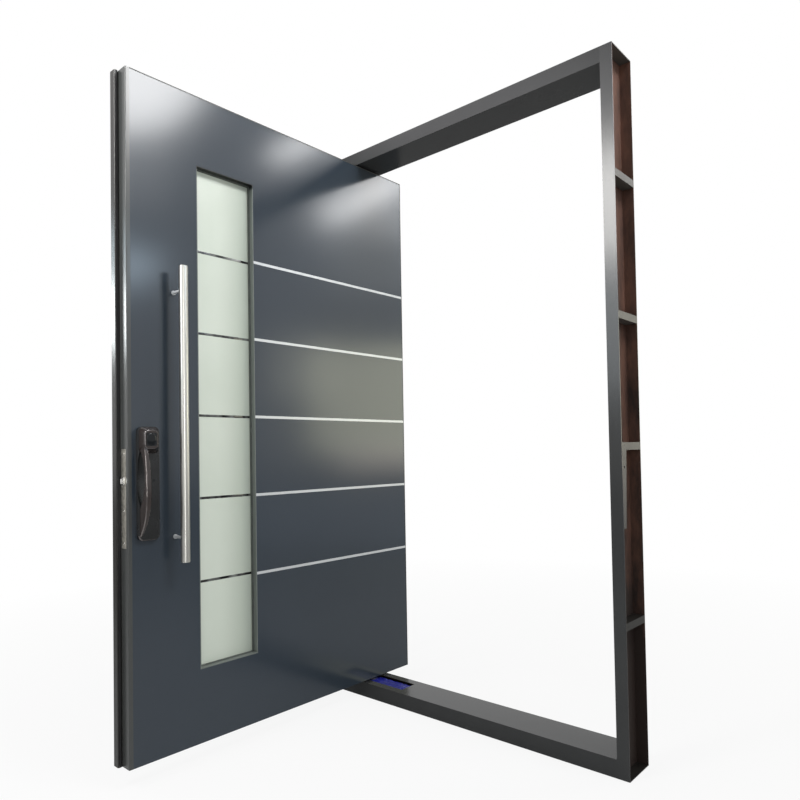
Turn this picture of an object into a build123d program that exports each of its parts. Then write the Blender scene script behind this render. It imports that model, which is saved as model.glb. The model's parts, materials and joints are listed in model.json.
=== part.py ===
"""Pivot entry door: a channel frame and a leaf that turns about a floor closer and a top pin.

Frame: X along the width with the lock jamb at +X, Y through the depth with the outside at +Y, Z up.
The origin is the middle of the sill's underside. The leaf stands open as drawn by rest_opening.
Leaf pieces are drawn closed, with the pivot axis as their Z axis, and then turned to that opening.
"""
import os
from math import hypot

from build123d import *

# Frame, overall
frame_width = 1470.0
frame_height = 2400.0
frame_depth = 155.0
jamb_face = 42.0
head_face = 54.0
sill_height = 61.0
channel_wall = 3.0
base_plate_thickness = 3.0

# Pivot axis and running gaps of the leaf
pivot_setback = 216.0
pivot_edge_gap = 9.0
lip_gap = 6.0
head_gap = 7.0
sill_gap = 8.0
rest_opening = 90.0

# Leaf
leaf_thickness = 75.0
skin_thickness = 4.0
lip_reach = 15.0
lip_thickness = 30.0
edge_band = 14.0
edge_round = 3.0
stile_width = 62.0
rail_height = 75.0

# Glazed strip, measured from the lock edge and the leaf's foot
glass_from_lock_edge = 262.0
glass_width = 237.0
glass_from_foot = 257.0
glass_below_top = 252.0
pane_count = 6
lining_wall = 3.0
pane_thickness = 5.0
pane_space = 9.0
pane_play = 0.5
spacer_width = 12.0
bead_width = 9.0
bead_height = 3.0

# Bright inlay strips
inlay_height = 10.0
inlay_thickness = 3.0
inlay_proud = 0.5

# Pull bar
bar_length = 986.0
bar_diameter = 30.0
bar_from_lock_edge = 166.0
bar_standoff = 65.0
bar_end_chamfer = 1.5
post_diameter = 11.0
post_waist = 9.0
post_inset = 79.0
collar_diameter = 15.0
collar_height = 4.0
bar_seat_clearance = 0.05

# Lock halves: a plate, the sensor head at its top and a scoop behind the grip
lock_height = 371.0
lock_width = 75.0
lock_depth = 16.0
lock_from_lock_edge = 66.5
lock_from_foot = 722.0
lock_corner = 18.0
lock_edge_bevel = 3.5
head_depth = 52.0
head_height = 92.0
head_inset = 1.0
head_corner = 16.0
head_front_width = 46.0
head_front_height = 61.0
head_front_below_top = 12.0
head_front_shift = 11.0
head_edge_round = 4.0
scoop_length = 170.0
scoop_width = 36.0
scoop_depth = 8.0
scoop_over_middle = 15.5
window_width = 36.0
window_height = 43.0
window_corner = 6.0
window_depth = 3.0
window_proud = 0.6
key_cover_diameter = 8.0
key_cover_depth = 4.0
key_cover_proud = 0.8
key_cover_from_lock_edge = 82.0

# Bowed grip: where it starts and ends, how far it bows out, and its width from end to middle
grip_length = 322.0
grip_below_lock_top = 35.5
grip_rise = 61.0
grip_bow_shares = ((0.0, 0.49), (0.14, 0.76), (0.30, 0.92), (0.56, 1.0), (0.81, 0.78), (1.0, 0.0))
grip_hole_length = 190.0
grip_hole_rise = 29.0
grip_hole_over_middle = 17.0
grip_side = 33.4
grip_width = 18.5
grip_end_width = 7.0
grip_bevel = 2.6

# Lock edge: faceplate, latch and the jamb's strike
faceplate_height = 321.0
faceplate_width = 30.0
faceplate_thickness = 3.0
faceplate_from_foot = 700.0
faceplate_from_face = 26.0
latch_height = 15.0
latch_width = 12.0
latch_throw = 12.0
latch_length = 55.0
latch_from_foot = 917.0
latch_clearance = 0.3
latch_bevel = 8.0
stop_gap = 8.0
stop_seal_width = 8.0
stop_seal_seat = 3.0
stop_seal_proud = 3.0
leaf_seal_width = 6.0
leaf_seal_depth = 4.0
leaf_seal_proud = 1.0
strike_height = 180.0
strike_width = 28.0
strike_thickness = 2.0
strike_pocket_clearance = 3.0
strike_pocket_depth = 11.0

# Ties across the open side of the channels, end plates and the gusset under a tie
tie_height = 25.0
tie_thickness = 4.0
end_plate_thickness = 3.0
jamb_tie_shares = (0.204, 0.447, 0.626, 0.821)
gusset_tie = 1
gusset_height = 255.0
gusset_top_width = 33.0
gusset_foot_width = 20.0
gusset_thickness = 4.0
gusset_hole = 9.0
gusset_hole_below_top = 56.0
gusset_hole_from_flange = 15.0
head_tie_shares = (0.25, 0.50, 0.75)

# Floor closer, spindle and top pivot
closer_length = 284.0
closer_width = 78.0
closer_height = 48.0
closer_behind_axis = 70.0
closer_corner = 6.0
closer_lid_thickness = 2.5
closer_lid_inset = 6.0
slot_clearance = 3.0
spindle_diameter = 24.0
spindle_in_closer = 28.0
spindle_in_leaf = 40.0
spindle_collar_diameter = 36.0
spindle_collar_height = 7.0
strap_length = 190.0
strap_width = 36.0
strap_thickness = 10.0
strap_behind_axis = 45.0
pivot_clearance = 0.05
pin_diameter = 18.0
pin_in_leaf = 30.0
pin_in_housing = 30.0
housing_length = 90.0
housing_width = 46.0
housing_height = 36.0
hole_clearance = 1.0

# Overrun of every cutting tool past the face it leaves
overrun = 1.0

# Places that follow from the sizes above
half_width = frame_width / 2
half_depth = frame_depth / 2
inner_half_width = half_width - jamb_face
soffit = frame_height - head_face
pivot_x = -inner_half_width + pivot_setback
axis_to_lock_jamb = inner_half_width - pivot_x
lock_reach = axis_to_lock_jamb - lip_gap - lip_reach
pivot_reach = pivot_setback - pivot_edge_gap
leaf_foot = sill_height + sill_gap
leaf_top = soffit - head_gap
leaf_height = leaf_top - leaf_foot
half_leaf = leaf_thickness / 2
half_core = half_leaf - skin_thickness
lip_face = -half_leaf + lip_thickness
stop_front = lip_face + stop_gap
stop_inner = lock_reach + lip_gap
glass_lock_side = lock_reach - glass_from_lock_edge
glass_pivot_side = glass_lock_side - glass_width
glass_bottom = leaf_foot + glass_from_foot
glass_top = leaf_top - glass_below_top
glass_height = glass_top - glass_bottom
glass_half_unit = pane_thickness + pane_space / 2
pane_pitch = glass_height / pane_count
skin_lock_side = lock_reach - edge_band
lock_u = lock_reach - lock_from_lock_edge
lock_bottom = leaf_foot + lock_from_foot
lock_middle = lock_bottom + lock_height / 2
head_front_middle = lock_height / 2 - head_front_below_top - head_front_height / 2
latch_z = leaf_foot + latch_from_foot
latch_w = half_leaf - faceplate_from_face
bar_z = glass_bottom + glass_height / 2
bar_u = lock_reach - bar_from_lock_edge
closer_top = base_plate_thickness + closer_height


def block(x_range, y_range, z_range):
    """A box between two limits on each axis."""
    low = (x_range[0], y_range[0], z_range[0])
    size = (x_range[1] - x_range[0], y_range[1] - y_range[0], z_range[1] - z_range[0])
    return Pos(*low) * Box(*size, align=(Align.MIN, Align.MIN, Align.MIN))


def upright(points, z_range):
    """A prism of a plan outline between two heights."""
    plan = make_face(Polyline(*points, close=True))
    return Pos(0, 0, z_range[0]) * extrude(plan, z_range[1] - z_range[0])


def ring(x_range, y_range, z_range, wall_x, wall_z):
    """A rectangular frame that is open along Y."""
    outside = block(x_range, y_range, z_range)
    inside = block(
        (x_range[0] + wall_x, x_range[1] - wall_x),
        (y_range[0] - overrun, y_range[1] + overrun),
        (z_range[0] + wall_z, z_range[1] - wall_z),
    )
    return outside - inside


def rod(radius, z_range, at=(0, 0)):
    """A round upright rod."""
    height = z_range[1] - z_range[0]
    foot = (Align.CENTER, Align.CENTER, Align.MIN)
    return Pos(at[0], at[1], z_range[0]) * Cylinder(radius, height, align=foot)


def to_rest(leaf_piece):
    """Turns a piece drawn on the closed leaf to the opening that the door is drawn at."""
    return Pos(pivot_x, 0, 0) * Rot(0, 0, -rest_opening) * leaf_piece


# Frame pieces

def jamb(side):
    """An upright channel whose open side faces the wall; side is +1 at the lock, -1 at the pivot."""
    inner = side * inner_half_width
    outer = side * half_width
    web = inner + side * channel_wall
    flange = half_depth - channel_wall
    points = (
        (inner, -half_depth), (outer, -half_depth), (outer, -flange), (web, -flange),
        (web, flange), (outer, flange), (outer, half_depth), (inner, half_depth),
    )
    return upright(points, (0, frame_height))


def cross_channel(web_z, open_z):
    """A level channel between the jambs, with its web at web_z and its open side at open_z."""
    wall = channel_wall if open_z > web_z else -channel_wall
    across = (-inner_half_width, inner_half_width)
    outside = block(across, (-half_depth, half_depth), sorted((web_z, open_z)))
    flange = half_depth - channel_wall
    past = open_z + (overrun if open_z > web_z else -overrun)
    inside = block(
        (-inner_half_width - overrun, inner_half_width + overrun),
        (-flange, flange),
        sorted((web_z + wall, past)),
    )
    return outside - inside


def head_channel():
    """The head, open upwards, with the hole that the top pin passes."""
    through = (soffit - overrun, soffit + channel_wall + overrun)
    hole = rod(pin_diameter / 2 + hole_clearance, through, (pivot_x, 0))
    return cross_channel(soffit, frame_height) - hole


def closer_span(margin):
    """The closer's extent along X, grown by a margin at each end."""
    start = pivot_x - closer_behind_axis
    return (start - margin, start + closer_length + margin)


def sill_channel():
    """The sill, open downwards, with the slot that shows the floor closer."""
    half_slot = closer_width / 2 + slot_clearance
    slot = block(
        closer_span(slot_clearance),
        (-half_slot, half_slot),
        (sill_height - channel_wall - overrun, sill_height + overrun),
    )
    return cross_channel(sill_height, 0) - slot


def sill_base_plate():
    """The plate that closes the sill's underside and stands on the floor."""
    flange = half_depth - channel_wall
    return block((-inner_half_width, inner_half_width), (-flange, flange), (0, base_plate_thickness))


def jamb_ties(side):
    """Bars across a jamb's open side, and the plates that close its ends."""
    flange = half_depth - channel_wall
    web = side * (inner_half_width + channel_wall)
    span = sorted((web, side * half_width))
    heights = [(0, end_plate_thickness), (frame_height - end_plate_thickness, frame_height)]
    for share in jamb_tie_shares:
        middle = share * frame_height
        heights.append((middle - tie_height / 2, middle + tie_height / 2))
    return Compound([block(span, (-flange, flange), height) for height in heights])


def head_ties():
    """Flat straps across the head's open side."""
    flange = half_depth - channel_wall
    ties = []
    for share in head_tie_shares:
        middle = -inner_half_width + share * 2 * inner_half_width
        span = (middle - tie_height / 2, middle + tie_height / 2)
        ties.append(block(span, (-flange, flange), (frame_height - tie_thickness, frame_height)))
    return Compound(ties)


def strike_pocket():
    """The hole in the stop that the latch enters when the door is shut."""
    half_height = latch_height / 2 + strike_pocket_clearance
    half_opening = latch_width / 2 + strike_pocket_clearance
    start = pivot_x + stop_inner
    return block(
        (start - overrun, start + strike_pocket_depth),
        (latch_w - half_opening, latch_w + half_opening),
        (latch_z - half_height, latch_z + half_height),
    )


def strike_seat():
    """The strike plate's outline, sunk flush in the stop."""
    start = pivot_x + stop_inner
    half_opening = latch_w + strike_width / 2
    return block(
        (start, start + strike_thickness),
        (half_opening - strike_width, half_opening),
        (latch_z - strike_height / 2, latch_z + strike_height / 2),
    )


def stop_seal_seat_block(proud):
    """The seal's groove in the stop's front, or the seal itself with its proud part."""
    middle = pivot_x + stop_inner + lip_reach / 2
    return block(
        (middle - stop_seal_width / 2, middle + stop_seal_width / 2),
        (stop_front - proud, stop_front + stop_seal_seat),
        (sill_height, soffit),
    )


def lock_stop():
    """The step along the lock jamb that the leaf's lip closes on."""
    across = (pivot_x + stop_inner, inner_half_width)
    strip = block(across, (stop_front, half_depth), (sill_height, soffit))
    return strip - strike_pocket() - strike_seat() - stop_seal_seat_block(0)


def stop_seal():
    """The soft seal in the stop's front face."""
    return stop_seal_seat_block(stop_seal_proud)


def strike_plate():
    """The steel plate round the latch's pocket."""
    return strike_seat() - strike_pocket()


def jamb_gusset():
    """The tapered plate between a tie and the lock jamb's front flange, with its hole."""
    flange = -half_depth + channel_wall
    top = jamb_tie_shares[gusset_tie] * frame_height - tie_height / 2
    foot = top - gusset_height
    points = (
        (flange, foot), (flange + gusset_foot_width, foot), (flange + gusset_top_width, top), (flange, top),
    )
    plate = extrude(Plane.YZ * make_face(Polyline(*points, close=True)), gusset_thickness)
    plate = Pos(half_width - gusset_thickness, 0, 0) * plate
    drill = Rot(0, 90, 0) * Cylinder(gusset_hole / 2, 2 * (gusset_thickness + overrun))
    place = Pos(half_width, flange + gusset_hole_from_flange, top - gusset_hole_below_top)
    return plate - place * drill


def floor_closer():
    """The closer's case, with the bore that its spindle turns in."""
    start, end = closer_span(0)
    plan = Pos((start + end) / 2, 0) * RectangleRounded(closer_length, closer_width, closer_corner)
    case = Pos(0, 0, base_plate_thickness) * extrude(plan, closer_height - closer_lid_thickness)
    bore = rod(
        spindle_diameter / 2 + pivot_clearance,
        (closer_top - spindle_in_closer, closer_top + overrun),
        (pivot_x, 0),
    )
    return case - bore


def closer_lid():
    """The closer's raised lid, set in from the case's edge, round the spindle."""
    start, end = closer_span(-closer_lid_inset)
    plan = Pos((start + end) / 2, 0) * RectangleRounded(
        end - start, closer_width - 2 * closer_lid_inset, closer_corner
    )
    lid = Pos(0, 0, closer_top - closer_lid_thickness) * extrude(plan, closer_lid_thickness)
    bore = rod(
        spindle_diameter / 2 + pivot_clearance,
        (closer_top - closer_lid_thickness - overrun, closer_top + overrun),
        (pivot_x, 0),
    )
    return lid - bore


def top_pivot_housing():
    """The block above the soffit that holds the top pin."""
    bottom = soffit + channel_wall
    body = block(
        (pivot_x - housing_length / 2, pivot_x + housing_length / 2),
        (-housing_width / 2, housing_width / 2),
        (bottom, bottom + housing_height),
    )
    depth = (bottom - overrun, bottom + pin_in_housing)
    return body - rod(pin_diameter / 2 + pivot_clearance, depth, (pivot_x, 0))


def top_pivot_pin():
    """The pin that hangs from the housing into the leaf's top rail."""
    top = soffit + channel_wall + pin_in_housing
    return rod(pin_diameter / 2, (leaf_top - pin_in_leaf, top), (pivot_x, 0))


# Leaf pieces, drawn closed about the pivot axis

def latch_channel():
    """The hole that the latch slides in, through the faceplate and into the stile."""
    half_height = latch_height / 2 + latch_clearance
    half_opening = latch_width / 2 + latch_clearance
    return block(
        (lock_reach - latch_length, lock_reach + overrun),
        (latch_w - half_opening, latch_w + half_opening),
        (latch_z - half_height, latch_z + half_height),
    )


def faceplate_block():
    """The faceplate's outline, flush with the lock edge."""
    bottom = leaf_foot + faceplate_from_foot
    return block(
        (lock_reach - faceplate_thickness, lock_reach),
        (latch_w - faceplate_width / 2, latch_w + faceplate_width / 2),
        (bottom, bottom + faceplate_height),
    )


def leaf_seal_block(proud):
    """The groove in the lip's closing face, or the seal in it with its proud part."""
    middle = lock_reach + lip_reach / 2
    return block(
        (middle - leaf_seal_width / 2, middle + leaf_seal_width / 2),
        (lip_face - leaf_seal_depth, lip_face + proud),
        (leaf_foot, leaf_top),
    )


def lock_stile():
    """The lock edge's profile: a face band on each side, and the lip that laps the stop."""
    back = lock_reach - stile_width
    lip = lock_reach + lip_reach
    points = (
        (back, -half_core), (skin_lock_side, -half_core), (skin_lock_side, -half_leaf),
        (lip, -half_leaf), (lip, lip_face), (lock_reach, lip_face), (lock_reach, half_leaf),
        (skin_lock_side, half_leaf), (skin_lock_side, half_core), (back, half_core),
    )
    profile = upright(points, (leaf_foot, leaf_top))
    corners = [
        edge for edge in profile.edges().filter_by(Axis.Z)
        if hypot(edge.center().X - lock_reach, edge.center().Y - half_leaf) < edge_round
        or abs(edge.center().X - lip) < edge_round
    ]
    profile = fillet(corners, edge_round)
    return profile - faceplate_block() - latch_channel() - leaf_seal_block(0)


def pivot_stile():
    """The upright behind the leaf's pivot edge."""
    across = (-pivot_reach, -pivot_reach + stile_width)
    return block(across, (-half_core, half_core), (leaf_foot, leaf_top))


def rail(z_range):
    """A level member between the stiles."""
    across = (-pivot_reach + stile_width, lock_reach - stile_width)
    return block(across, (-half_core, half_core), z_range)


def top_rail():
    """The top rail, bored for the top pin."""
    depth = (leaf_top - pin_in_leaf - overrun, leaf_top + overrun)
    return rail((leaf_top - rail_height, leaf_top)) - rod(pin_diameter / 2 + pivot_clearance, depth)


def pivot_strap():
    """The strap under the bottom rail that passes the leaf's weight to the spindle."""
    across = (-strap_behind_axis, strap_length - strap_behind_axis)
    return block(across, (-strap_width / 2, strap_width / 2), (leaf_foot, leaf_foot + strap_thickness))


def bottom_rail():
    """The bottom rail, bored for the spindle and sunk for its strap."""
    depth = (leaf_foot - overrun, leaf_foot + spindle_in_leaf + overrun)
    bore = rod(spindle_diameter / 2 + pivot_clearance, depth)
    return rail((leaf_foot, leaf_foot + rail_height)) - bore - pivot_strap()


def pivot_spindle():
    """The spindle that turns in the closer, with its collar and the strap that carries the leaf."""
    spindle = rod(spindle_diameter / 2, (closer_top - spindle_in_closer, leaf_foot + spindle_in_leaf))
    collar = rod(spindle_collar_diameter / 2, (leaf_foot - spindle_collar_height, leaf_foot))
    return spindle + collar + pivot_strap()


def inlay_block(index, near, far):
    """One inlay's outline between two depths, level with a line of the glazed strip."""
    middle = glass_bottom + index * pane_pitch
    return block(
        (-pivot_reach, glass_pivot_side - lining_wall),
        sorted((near, far)),
        (middle - inlay_height / 2, middle + inlay_height / 2),
    )


def skin(side):
    """A face sheet with the glazed strip's cut-out and the inlays' grooves; side is +1 outside."""
    near = side * half_core
    far = side * half_leaf
    sheet = block((-pivot_reach, skin_lock_side), sorted((near, far)), (leaf_foot, leaf_top))
    cut = block(
        (glass_pivot_side - lining_wall, glass_lock_side + lining_wall),
        sorted((near - side * overrun, far + side * overrun)),
        (glass_bottom - lining_wall, glass_top + lining_wall),
    )
    sheet = sheet - cut
    groove_floor = far - side * (inlay_thickness - inlay_proud)
    for index in range(1, pane_count):
        sheet = sheet - inlay_block(index, groove_floor, far + side * overrun)
    return sheet


def inlay_strips(side):
    """The bright strips of one face."""
    far = side * (half_leaf + inlay_proud)
    near = far - side * inlay_thickness
    return Compound([inlay_block(index, near, far) for index in range(1, pane_count)])


def glazing_lining():
    """The lining of the glazed strip's opening, flush with both faces."""
    return ring(
        (glass_pivot_side - lining_wall, glass_lock_side + lining_wall),
        (-half_leaf, half_leaf),
        (glass_bottom - lining_wall, glass_top + lining_wall),
        lining_wall,
        lining_wall,
    )


def pane(side):
    """One sheet of frosted glass."""
    outer = side * glass_half_unit
    inner = outer - side * pane_thickness
    return block(
        (glass_pivot_side + pane_play, glass_lock_side - pane_play),
        sorted((inner, outer)),
        (glass_bottom + pane_play, glass_top - pane_play),
    )


def pane_spacer():
    """The bar between the two sheets of glass, round their edge."""
    return ring(
        (glass_pivot_side + pane_play, glass_lock_side - pane_play),
        (-pane_space / 2, pane_space / 2),
        (glass_bottom + pane_play, glass_top - pane_play),
        spacer_width,
        spacer_width,
    )


def glazing_bead(side):
    """The bead that holds the glass in its lining."""
    return ring(
        (glass_pivot_side, glass_lock_side),
        sorted((side * glass_half_unit, side * (glass_half_unit + bead_width))),
        (glass_bottom, glass_top),
        bead_height,
        bead_height,
    )


def bar_solid(radius):
    """The pull bar's cylinder at a given radius."""
    reach = (bar_z - bar_length / 2, bar_z + bar_length / 2)
    return rod(radius, reach, (bar_u, half_leaf + bar_standoff))


def pull_bar():
    """The long round pull bar."""
    bar = bar_solid(bar_diameter / 2)
    return chamfer(bar.edges().filter_by(GeomType.CIRCLE), bar_end_chamfer)


def pull_bar_post():
    """One waisted post with its foot collar, turned about its own axis."""
    end = post_diameter / 2
    rim = collar_diameter / 2
    half_way = (collar_height + bar_standoff) / 2
    foot = Polyline((end, collar_height), (rim, collar_height), (rim, 0), (0, 0))
    head = Polyline((0, 0), (0, bar_standoff), (end, bar_standoff))
    waist = Polyline((end, bar_standoff), (post_waist / 2, half_way), (end, collar_height))
    section = Plane.XZ * make_face([*foot.edges(), *head.edges(), *waist.edges()])
    return revolve(section, Axis.Z)


def pull_bar_posts():
    """The two posts that carry the pull bar off the leaf's face."""
    saddle = bar_solid(bar_diameter / 2 + bar_seat_clearance)
    posts = []
    for end in (-1, 1):
        middle = bar_z + end * (bar_length / 2 - post_inset)
        foot = Plane(origin=(bar_u, half_leaf, middle), z_dir=(0, 1, 0))
        posts.append(foot * pull_bar_post() - saddle)
    return Compound(posts)


def lock_face(side):
    """The plane on one face of the leaf at the middle of the lock, with its normal pointing out."""
    middle = (lock_u, side * half_leaf, lock_middle)
    return Plane(origin=middle, x_dir=(-side, 0, 0), z_dir=(0, side, 0))


def from_the_side():
    """The plane for profiles drawn as depth and height, seen along the lock's width."""
    return Plane(origin=(0, 0, 0), x_dir=(0, 0, 1), z_dir=(-1, 0, 0))


def lock_head(side):
    """The sensor head: a taper from the plate's outline to a smaller front near the lock edge."""
    base = lock_depth / 2
    half = lock_width / 2 - head_inset
    top = lock_height / 2 - head_inset
    foot = lock_height / 2 - head_height + head_inset
    front_top = head_front_middle + head_front_height / 2
    front_foot = front_top - head_front_height
    near = -side * head_front_shift - head_front_width / 2
    far = near + head_front_width
    plan = Polyline((-half, base), (half, base), (far, head_depth), (near, head_depth), close=True)
    rise = Polyline((base, foot), (base, top), (head_depth, front_top), (head_depth, front_foot), close=True)
    head = extrude(Plane.XZ * make_face(plan), lock_height, both=True)
    head = head & extrude(from_the_side() * make_face(rise), lock_width, both=True)
    middle = (base + head_depth) / 2
    corners = [edge for edge in head.edges() if abs(edge.center().Z - middle) < head_inset]
    head = fillet(corners, head_corner)
    return fillet(head.faces().sort_by(Axis.Z)[-1].edges(), head_edge_round)


def lock_plate():
    """The lock's rounded plate with bevelled edges."""
    plate = extrude(RectangleRounded(lock_width, lock_height, lock_corner), lock_depth)
    return chamfer(plate.faces().sort_by(Axis.Z)[-1].edges(), lock_edge_bevel)


def finger_scoop(side):
    """The shallow trough across the plate's lock side, behind the grip."""
    radius = (scoop_length ** 2 / 4 + scoop_depth ** 2) / (2 * scoop_depth)
    roller = Rot(0, 90, 0) * Cylinder(radius, scoop_width)
    across = -side * (lock_width - scoop_width) / 2 - side * overrun
    return Pos(across, scoop_over_middle, lock_depth - scoop_depth + radius) * roller


def lock_body(side):
    """A lock half's body before the outside's cut-outs, flat on the XY plane."""
    return lock_plate() - finger_scoop(side) + lock_head(side)


def sensor_solid(bottom, top):
    """The sensor window between two heights over the leaf's face."""
    pane_outline = RectangleRounded(window_width, window_height, window_corner)
    return Pos(-head_front_shift, head_front_middle, bottom) * extrude(pane_outline, top - bottom)


def key_cover_solid(bottom, top):
    """The small round key cover between two heights over the leaf's face."""
    across = key_cover_from_lock_edge - lock_from_lock_edge
    along = leaf_foot + latch_from_foot - lock_middle
    return Pos(across, along, bottom) * extrude(Circle(key_cover_diameter / 2), top - bottom)


def outer_lock_body():
    """The outside lock half, with seats for its sensor window and key cover."""
    window = sensor_solid(head_depth - window_depth, head_depth + overrun)
    cover = key_cover_solid(lock_depth - key_cover_depth, lock_depth + overrun)
    return lock_face(1) * (lock_body(1) - window - cover)


def inner_lock_body():
    """The inside lock half, a mirrored body with a closed head."""
    return lock_face(-1) * lock_body(-1)


def sensor_window():
    """The glossy sensor window, just proud of the lock's head."""
    return lock_face(1) * sensor_solid(head_depth - window_depth, head_depth + window_proud)


def key_cover():
    """The cover of the emergency key hole."""
    return lock_face(1) * key_cover_solid(lock_depth - key_cover_depth, lock_depth + key_cover_proud)


def grip_side_profile():
    """The grip seen from the side: bowed in front, with the finger hole's arc behind."""
    top = lock_height / 2 - grip_below_lock_top
    rise = grip_rise - lock_depth
    bow = [(lock_depth + up * rise, top - along * grip_length) for along, up in grip_bow_shares]
    hole_top = grip_hole_over_middle + grip_hole_length / 2
    hole_foot = grip_hole_over_middle - grip_hole_length / 2
    crown = (lock_depth + grip_hole_rise, grip_hole_over_middle)
    front = Spline(*bow)
    foot = Line(bow[-1], (lock_depth, hole_foot))
    hole = ThreePointArc((lock_depth, hole_foot), crown, (lock_depth, hole_top))
    root = Polyline((lock_depth, hole_top), (lock_depth, top), bow[0])
    return make_face([front, foot, hole, *root.edges()])


def grip_front_profile(side):
    """The grip seen from the front: straight towards the lock edge, bowed on the other side."""
    top = lock_height / 2 - grip_below_lock_top
    foot = top - grip_length
    straight = -side * grip_side
    end = -side * (grip_side - grip_end_width)
    middle = -side * (grip_side - grip_width)
    rest = Polyline((end, foot), (straight, foot), (straight, top), (end, top))
    return make_face([*rest.edges(), ThreePointArc((end, top), (middle, (top + foot) / 2), (end, foot))])


def lock_grip(side):
    """The bowed grip: its side profile crossed with its front profile, cut where it meets the body."""
    bowed = extrude(from_the_side() * grip_side_profile(), lock_width, both=True)
    bar = bowed & extrude(grip_front_profile(side), grip_rise + overrun)
    long_edges = [edge for edge in bar.edges() if edge.length > grip_hole_length]
    bar = chamfer(long_edges, grip_bevel)
    return lock_face(side) * (bar - lock_head(side) - lock_plate())


def lock_faceplate():
    """The lock's plate in the leaf's edge, with the latch's hole."""
    return faceplate_block() - latch_channel()


def latch_bolt():
    """The latch, with its bevelled nose on the side that meets the strike first."""
    outside = lock_reach + latch_throw
    inside = outside - latch_length
    low = latch_w - latch_width / 2
    high = latch_w + latch_width / 2
    points = (
        (inside, low), (outside - latch_bevel, low), (outside, high - latch_bevel / 2),
        (outside, high), (inside, high),
    )
    return upright(points, (latch_z - latch_height / 2, latch_z + latch_height / 2))


def leaf_seal():
    """The soft seal in the lip's closing face."""
    return leaf_seal_block(leaf_seal_proud)


def frame_pieces():
    """The fixed pieces, by node name."""
    return {
        "lock_jamb": jamb(1),
        "pivot_jamb": jamb(-1),
        "head_channel": head_channel(),
        "sill_channel": sill_channel(),
        "sill_base_plate": sill_base_plate(),
        "lock_jamb_ties": jamb_ties(1),
        "pivot_jamb_ties": jamb_ties(-1),
        "head_ties": head_ties(),
        "lock_stop": lock_stop(),
        "stop_seal": stop_seal(),
        "strike_plate": strike_plate(),
        "jamb_gusset": jamb_gusset(),
        "floor_closer": floor_closer(),
        "closer_lid": closer_lid(),
        "top_pivot_housing": top_pivot_housing(),
        "top_pivot_pin": top_pivot_pin(),
    }


def leaf_pieces():
    """The leaf's pieces as drawn closed, by node name."""
    return {
        "lock_stile": lock_stile(),
        "pivot_stile": pivot_stile(),
        "top_rail": top_rail(),
        "bottom_rail": bottom_rail(),
        "pivot_spindle": pivot_spindle(),
        "outer_skin": skin(1),
        "inner_skin": skin(-1),
        "outer_inlay_strips": inlay_strips(1),
        "inner_inlay_strips": inlay_strips(-1),
        "glazing_lining": glazing_lining(),
        "outer_glazing_bead": glazing_bead(1),
        "inner_glazing_bead": glazing_bead(-1),
        "outer_pane": pane(1),
        "inner_pane": pane(-1),
        "pane_spacer": pane_spacer(),
        "pull_bar": pull_bar(),
        "pull_bar_posts": pull_bar_posts(),
        "outer_lock_body": outer_lock_body(),
        "outer_lock_grip": lock_grip(1),
        "inner_lock_body": inner_lock_body(),
        "inner_lock_grip": lock_grip(-1),
        "sensor_window": sensor_window(),
        "key_cover": key_cover(),
        "lock_faceplate": lock_faceplate(),
        "leaf_seal": leaf_seal(),
        "latch_bolt": latch_bolt(),
    }


def main():
    """Writes one STEP file for each node."""
    os.makedirs("parts", exist_ok=True)
    nodes = frame_pieces()
    for name, piece in leaf_pieces().items():
        nodes[name] = to_rest(piece)
    for name, piece in nodes.items():
        export_step(piece, os.path.join("parts", name + ".step"))


main()
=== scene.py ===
"""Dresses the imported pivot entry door: finishes, small fittings, stage, light and camera."""

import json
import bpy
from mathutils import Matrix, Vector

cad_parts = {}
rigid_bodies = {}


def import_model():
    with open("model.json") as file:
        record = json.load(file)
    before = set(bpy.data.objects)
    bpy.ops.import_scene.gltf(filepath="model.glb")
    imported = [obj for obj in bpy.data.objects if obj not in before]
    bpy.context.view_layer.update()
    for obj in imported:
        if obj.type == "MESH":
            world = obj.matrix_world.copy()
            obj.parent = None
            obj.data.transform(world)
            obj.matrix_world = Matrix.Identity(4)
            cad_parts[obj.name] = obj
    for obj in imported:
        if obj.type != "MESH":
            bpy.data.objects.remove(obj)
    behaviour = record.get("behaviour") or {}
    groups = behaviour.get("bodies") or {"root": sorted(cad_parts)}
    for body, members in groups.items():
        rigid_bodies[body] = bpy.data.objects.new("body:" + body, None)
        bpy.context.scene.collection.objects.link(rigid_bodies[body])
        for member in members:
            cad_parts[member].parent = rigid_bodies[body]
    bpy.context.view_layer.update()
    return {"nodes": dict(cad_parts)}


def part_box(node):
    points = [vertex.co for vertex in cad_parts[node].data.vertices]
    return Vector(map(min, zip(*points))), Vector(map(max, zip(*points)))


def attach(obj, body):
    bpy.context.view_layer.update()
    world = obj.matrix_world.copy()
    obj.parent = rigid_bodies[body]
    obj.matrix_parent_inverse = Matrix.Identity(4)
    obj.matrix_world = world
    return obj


bl_info = {
    "name": "Pivot Entry Door Dresser",
    "version": (1, 0, 0),
    "blender": (4, 5, 0),
    "location": "View3D > Sidebar > Door",
    "description": "Finishes, small fittings, stage and camera for a pivot entry door",
    "category": "Object",
}

from math import pi, radians

import bmesh
import bpy
from bpy.props import FloatProperty, FloatVectorProperty, IntProperty, PointerProperty
from mathutils import Quaternion, Vector

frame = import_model()
FINISH_PREFIX = "finish_"
MERGE_DISTANCE = 1e-6


def hue(name, description, default):
    """A colour setting as written on the shader."""
    return FloatVectorProperty(name=name, description=description, default=default, subtype="COLOR", size=3,
                               min=0.0, max=1.0)


def length(name, description, default):
    """A length setting in metres."""
    return FloatProperty(name=name, description=description, default=default, unit="LENGTH", precision=4)


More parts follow.
